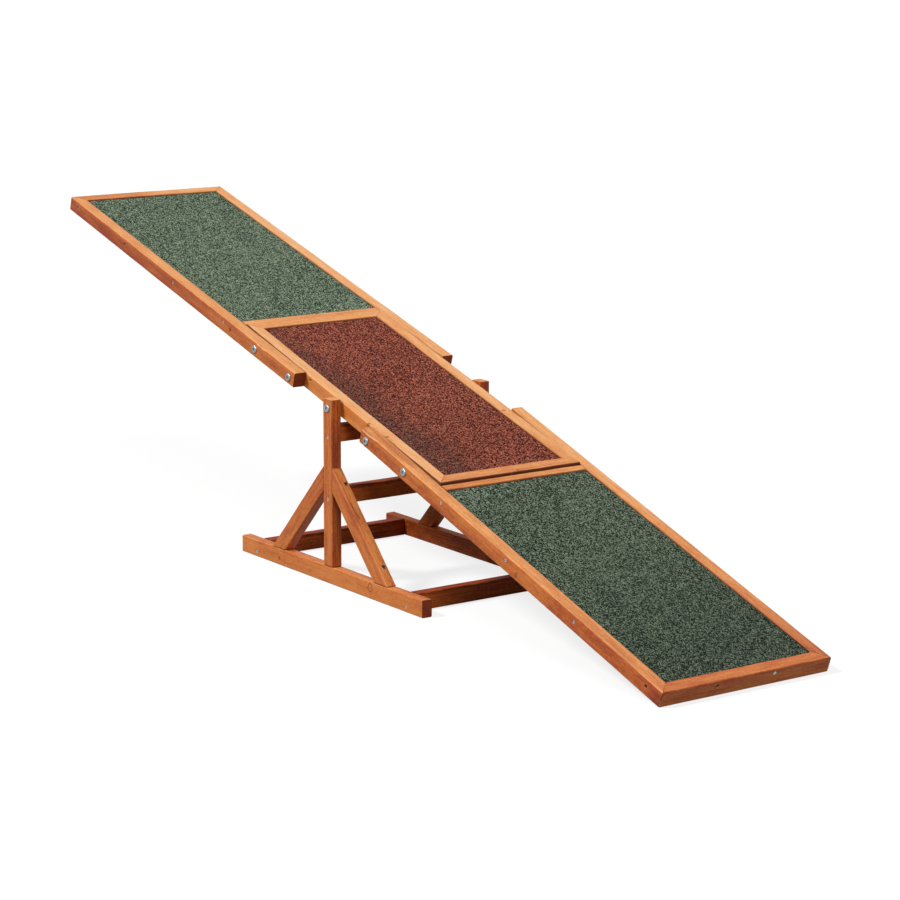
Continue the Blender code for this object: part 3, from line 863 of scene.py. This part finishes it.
panel_start = joint_to_hinge + cross_rail[1]
panel_end = joint_to_hinge + panel_length - rail_width
# The two green sheets are one felt in lit and shaded copies: the high one is painted lighter as painted
# sheen, the low one darker
lay_felt(
    "high_felt", panel_lies["high"], panel_start, panel_end, plank_face - rail_width,
    (0.008, 0.016, 0.008), (0.076, 0.114, 0.069), (0.32, 0.40, 0.28), 0.0, 0.0,
)
lay_felt(
    "low_felt", panel_lies["low"], panel_start, panel_end, plank_face - rail_width,
    (0.003, 0.007, 0.003), (0.047, 0.070, 0.043), (0.24, 0.30, 0.21), 0.55, 0.0,
)
centre_reach = centre_length / 2 - rail_width
lay_felt(
    "centre_felt", plank_lie, -centre_reach, centre_reach, centre_face - rail_width,
    (0.015, 0.003, 0.002), (0.180, 0.028, 0.014), (0.55, 0.165, 0.100), 0.15, 0.72,
)

# Boards under the felt
# Each felt lies on a plain softwood board, which the rails are screwed to. Its underside is bare
# and shows from below. The boards, like the inserts, keep their exact CAD shape.
veneer, given = new_group("Bare board", {"Vector": "Vector", "Grain": "Vector"})
veneer_place = calc_vector(veneer, "ADD", given["Vector"], given["Grain"])
veneer_bend = noise(veneer, veneer_place, (1.6, 6, 1), 2)
veneer_across = split(veneer, veneer_place)[1]
veneer_line = times(veneer, veneer_across, 70.0)
veneer_line = calc(veneer, "FRACT", calc(veneer, "MULTIPLY_ADD", veneer_bend, 22.0, veneer_line))
veneer_late = step(veneer, veneer_line, 0.9, 1.0, 1.0, 0.0)
veneer_late = times(veneer, step(veneer, veneer_line, 0.2, 0.85), veneer_late)
veneer_fibre = noise(veneer, veneer_place, (14, 600, 600), 3)
veneer_blotch = noise(veneer, veneer_place, (5, 9, 9), 3)
veneer_value = calc(veneer, "MULTIPLY_ADD", veneer_late, -0.38, 0.75)
veneer_value = vary(veneer, veneer_value, ((veneer_fibre, 0.5), (veneer_blotch, 0.6)))
veneer_stops = [(0.0, (0.22, 0.11, 0.05)), (0.5, (0.44, 0.27, 0.14)), (1.0, (0.62, 0.43, 0.25))]
veneer_color = ramp(veneer, veneer_value, veneer_stops)
veneer_rough = calc(veneer, "MULTIPLY_ADD", veneer_fibre, 0.25, 0.6)
close_group(veneer, veneer_color, veneer_rough, veneer_fibre)
for name, lie in (("high", panel_lies["high"]), ("low", panel_lies["low"]), ("centre", plank_lie)):
    material, tree, shader = new_material(name + "_board_veneer")
    looks = use_group(
        tree, veneer, Vector=read_local(tree, lie), Grain=[chance.uniform(0, 30) for _ in range(3)]
    )
    finish(tree, shader, looks, 0.0003, 0.4)
    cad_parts[name + "_board"].material_slots[0].material = material

# Bolts, washers and inserts
# Zinc-plated M6 pan-head bolts with a cross recess. Four join each outer panel to the middle
# frame and two are the pivot, each screwed into a threaded insert in the middle frame's rail.
zinc, given = new_group("Zinc plating", {"Vector": "Vector", "Shade": "Color"})
zinc_cloud = noise(zinc, given["Vector"], (420, 420, 420), 3)
zinc_tint = noise(zinc, given["Vector"], (120, 120, 120), 1)
zinc_scratch = noise(zinc, given["Vector"], (300, 4200, 4200), 2)
zinc_color = blend(zinc, zinc_tint, (0.62, 0.68, 0.74, 1), (0.82, 0.82, 0.76, 1))
zinc_color = blend(zinc, step(zinc, zinc_cloud, 0.40, 0.66, 0.0, 0.5), zinc_color, (0.26, 0.31, 0.34, 1))
zinc_rough = calc(zinc, "MULTIPLY_ADD", zinc_cloud, 0.30, 0.14)
zinc_color = blend(zinc, 1.0, zinc_color, given["Shade"], "MULTIPLY")
close_group(zinc, zinc_color, zinc_rough, zinc_scratch)


def plate(name, shade):
    """Zinc plating in its own tint, since bolts and screws come from different baths; a dark tint is painted
    shade inside the cross recesses.
    """
    material, tree, shader = new_material(name)
    looks = use_group(tree, zinc, Vector=node(tree, "TexCoord", {}, "Object"), Shade=(*shade, 1))
    finish(tree, shader, looks, 0.0001, 0.25)
    shader.inputs["Metallic"].default_value = 1.0
    return material


zinc_plate = plate("zinc_plate", (0.82, 0.93, 0.97))
# Dark zinc for the faces inside cross recesses: painted shade
recess_plate = plate("zinc_in_a_recess", (0.10, 0.12, 0.13))

bolt_head_radius = 0.00625
bolt_head_height = 0.0024
shank_radius = 0.003
joint_bolt_length = 0.040
pivot_bolt_length = 0.0385
pivot_head_y = 0.1538
washer_radius = 0.008
washer_bore = 0.0034
washer_thickness = 0.0017
washer_y = centre_face + 0.00115


def cut_recess(piece, top, span, width, depth):
    """Press a tapered cross recess into the top of a head, its faces in dark zinc as painted shade."""
    for turn in (0, math.pi / 2):
        blade = new_block((span, width, 2 * depth))
        pick(blade, "FACE", lambda face: face.normal.z < -0.5)
        bpy.ops.transform.resize(value=(0.45, 0.6, 1))
        bpy.ops.object.mode_set(mode="OBJECT")
        set_down(blade, Matrix.Translation((0, 0, top)) @ Matrix.Rotation(turn, 4, "Z"))
        blade.data.materials.append(recess_plate)
        carve(piece, blade).material_mode = "TRANSFER"
        apply_modifiers(piece)
        bpy.data.objects.remove(blade, do_unlink=True)


def make_bolt(length):
    """Pan head on Z = 0 with its shank below."""
    deselect()
    bpy.ops.mesh.primitive_cylinder_add(
        vertices=40, radius=bolt_head_radius, depth=bolt_head_height, location=(0, 0, bolt_head_height / 2)
    )
    bolt = bpy.context.object
    set_down(bolt, bolt.matrix_world.copy())
    bpy.ops.object.mode_set(mode="EDIT")
    pick(bolt, "EDGE", lambda edge: edge.calc_face_angle() > 1 and edge.verts[0].co.z > 0.001)
    bpy.ops.mesh.bevel(offset=0.0018, segments=6, affect="EDGES")
    pick(bolt, "FACE", lambda face: face.normal.z < -0.9)
    bpy.ops.mesh.inset(thickness=bolt_head_radius - shank_radius)
    bpy.ops.mesh.extrude_region_move(TRANSFORM_OT_translate={"value": (0, 0, 0.001 - length)})
    bpy.ops.mesh.extrude_region_move(TRANSFORM_OT_translate={"value": (0, 0, -0.001)})
    bpy.ops.transform.resize(value=(0.66, 0.66, 1))
    bpy.ops.mesh.select_all(action="SELECT")
    bpy.ops.mesh.normals_make_consistent(inside=False)
    bpy.ops.object.mode_set(mode="OBJECT")
    bolt.data.materials.append(zinc_plate)
    cut_recess(bolt, bolt_head_height, 0.0078, 0.0018, 0.0018)
    take(bolt)
    bpy.ops.object.shade_smooth_by_angle(angle=math.radians(32))
    return bolt


def copy_to(pattern, name, lie):
    """Copy a piece with a mesh of its own and set the copy down."""
    twin = bpy.data.objects.new(name, pattern.data.copy())
    bpy.context.scene.collection.objects.link(twin)
    set_down(twin, lie)
    return twin


joint_bolt = make_bolt(joint_bolt_length)
pivot_bolt = make_bolt(pivot_bolt_length)
for side, side_label in both_sides:
    for end, end_label in both_ends:
        for label, distance in (("inner", 0.0665), ("outer", 0.1735)):
            name = f"joint_bolt_{end_label}_{side_label}_{label}"
            point = (end * (centre_length / 2 - distance), side * (plank_face + joint_gap), 0)
            spin = Matrix.Rotation(chance.uniform(0, math.pi / 2), 4, "Z")
            twin = copy_to(joint_bolt, name, plank_lie @ turned(point, (0, side, 0)) @ spin)
            fit(twin, name, "plank")
    name = f"pivot_bolt_{side_label}"
    spin = Matrix.Rotation(chance.uniform(0, math.pi / 2), 4, "Z")
    seat = plank_lie @ turned((0, side * pivot_head_y, 0), (0, side, 0))
    twin = copy_to(pivot_bolt, name, seat @ spin)
    fit(twin, name, "plank")
bpy.data.objects.remove(joint_bolt, do_unlink=True)
bpy.data.objects.remove(pivot_bolt, do_unlink=True)

for side, side_label in both_sides:
    deselect()
    bpy.ops.mesh.primitive_cylinder_add(vertices=48, radius=washer_radius, depth=washer_thickness)
    washer = bpy.context.object
    bpy.ops.object.mode_set(mode="EDIT")
    pick(washer, "EDGE", lambda edge: edge.calc_face_angle() > 1)
    bpy.ops.mesh.bevel(offset=0.0003, segments=2, affect="EDGES")
    bpy.ops.object.mode_set(mode="OBJECT")
    bpy.ops.mesh.primitive_cylinder_add(vertices=48, radius=washer_bore, depth=0.01)
    hole = bpy.context.object
    carve(washer, hole)
    apply_modifiers(washer)
    bpy.data.objects.remove(hole, do_unlink=True)
    set_down(washer, turned((0, side * washer_y, pivot_height), (0, side, 0)))
    bpy.ops.object.shade_smooth_by_angle(angle=math.radians(35))
    washer.data.materials.append(zinc_plate)
    fit(washer, f"pivot_washer_{side_label}", "stand")
for name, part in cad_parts.items():
    if "_insert_" in name:
        part.material_slots[0].material = zinc_plate

# Small wood screws
# Countersunk cross-head screws of zinc-plated steel hold the battens to the boards and bars. Most
# are level with the wood, a few sit deeper. They are too small to be parts of the CAD model.
screw_radius = 0.0027
screw_depth = 0.0030
screw_rise = 0.0002
deselect()
bpy.ops.mesh.primitive_cone_add(vertices=28, radius1=0.0010, radius2=screw_radius, depth=screw_depth)
screw = bpy.context.object
bpy.ops.object.mode_set(mode="EDIT")
pick(screw, "FACE", lambda face: face.normal.z > 0.9)
bpy.ops.mesh.inset(thickness=0.0005)
bpy.ops.transform.translate(value=(0, 0, screw_rise))
bpy.ops.object.mode_set(mode="OBJECT")
set_down(screw, Matrix.Translation((0, 0, -screw_depth / 2)))
screw.data.materials.append(plate("zinc_screw_plate", (1.0, 1.08, 1.16)))
cut_recess(screw, screw_rise, 0.0027, 0.0006, 0.0008)
take(screw)
bpy.ops.object.shade_smooth_by_angle(angle=math.radians(30))
for body, seats in screw_places.items():
    twins = []
    for number, seat in enumerate(seats):
        spin = Matrix.Rotation(chance.uniform(0, math.pi / 2), 4, "Z")
        twins.append(copy_to(screw, f"screw_{number}", seat @ spin))
    deselect()
    for twin in twins:
        twin.select_set(True)
    bpy.context.view_layer.objects.active = twins[0]
    bpy.ops.object.join()
    twins[0].name = f"{body}_screws"
    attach(twins[0], body)
bpy.data.objects.remove(screw, do_unlink=True)

# Studio
# A pale floor that shows white to the camera and keeps the seesaw's soft shadow, a large soft
# light from the front left, weaker ones from the right and the back, and a white surround.
deselect()
bpy.ops.mesh.primitive_plane_add(size=160)
floor = bpy.context.object
floor.name = "studio_floor"
material, tree, shader = new_material("studio_floor_paper")
to_camera = node(tree, "LightPath", {}, "Is Camera Ray")
to_gloss = node(tree, "LightPath", {}, "Is Glossy Ray")
paper = blend(tree, to_camera, (0.15, 0.15, 0.15, 1), (0.20, 0.20, 0.20, 1))
tree.links.new(paper, shader.inputs["Base Color"])
glow = calc(tree, "MULTIPLY_ADD", to_gloss, 0.40, times(tree, to_camera, 0.80))
tree.links.new(glow, shader.inputs["Emission Strength"])
shader.inputs["Emission Color"].default_value = (1, 1, 1, 1)
shader.inputs["Roughness"].default_value = 1.0
shader.inputs["Specular IOR Level"].default_value = 0.0
floor.data.materials.append(material)

world = bpy.data.worlds.new("studio_surround")
bpy.context.scene.world = world
world.use_nodes = True
tree = world.node_tree
background = tree.nodes["Background"]
seen = node(tree, "LightPath", {}, "Is Camera Ray")
glossy = node(tree, "LightPath", {}, "Is Glossy Ray")
level = calc(tree, "MULTIPLY_ADD", glossy, 0.47, 0.08)
background.inputs["Color"].default_value = (1, 1, 1, 1)
tree.links.new(calc(tree, "MAXIMUM", seen, level), background.inputs["Strength"])


def soft_light(name, toward, level, spread):
    """Light from far off; level is what it gives a surface that faces it, where 1 is full."""
    light = bpy.data.lights.new(name, "SUN")
    light.energy = level * math.pi
    light.angle = math.radians(spread)
    lamp = bpy.data.objects.new(name, light)
    bpy.context.scene.collection.objects.link(lamp)
    lamp.rotation_euler = Vector(toward).to_track_quat("Z", "Y").to_euler()
    return lamp


soft_light("front_light", (-0.21, -0.63, 0.745), 0.91, 10)
soft_light("right_light", (0.70, -0.28, 0.66), 0.44, 30)
soft_light("back_light", (-0.25, 0.92, 0.30), 0.45, 40).visible_glossy = False

# Camera
# The camera stands where the photograph was taken from, with a long lens and no shift. Its turn
# and rise are about the point that it looks at, and its roll is the photograph's own slight tilt.
camera_distance = 4.4336
turn, rise, roll = map(math.radians, (54.529, 11.6931, 0.2057))
aim = Vector((0.1178, 0, 0.2190))
toward = Vector((math.sin(turn) * math.cos(rise), -math.cos(turn) * math.cos(rise), math.sin(rise)))
right = (-toward).cross(Vector((0, 0, 1))).normalized()
up = right.cross(-toward)
rolled_right = right * math.cos(roll) + up * math.sin(roll)
rolled_up = up * math.cos(roll) - right * math.sin(roll)
lens = bpy.data.cameras.new("camera")
lens.sensor_width = 36
lens.lens = 112.577
lens.clip_end = 200
camera = bpy.data.objects.new("camera", lens)
bpy.context.scene.collection.objects.link(camera)
axes = Matrix((rolled_right, rolled_up, toward)).transposed().to_4x4()
camera.matrix_world = Matrix.Translation(aim + toward * camera_distance) @ axes
bpy.context.scene.camera = camera
bpy.context.scene.view_settings.view_transform = "Standard"
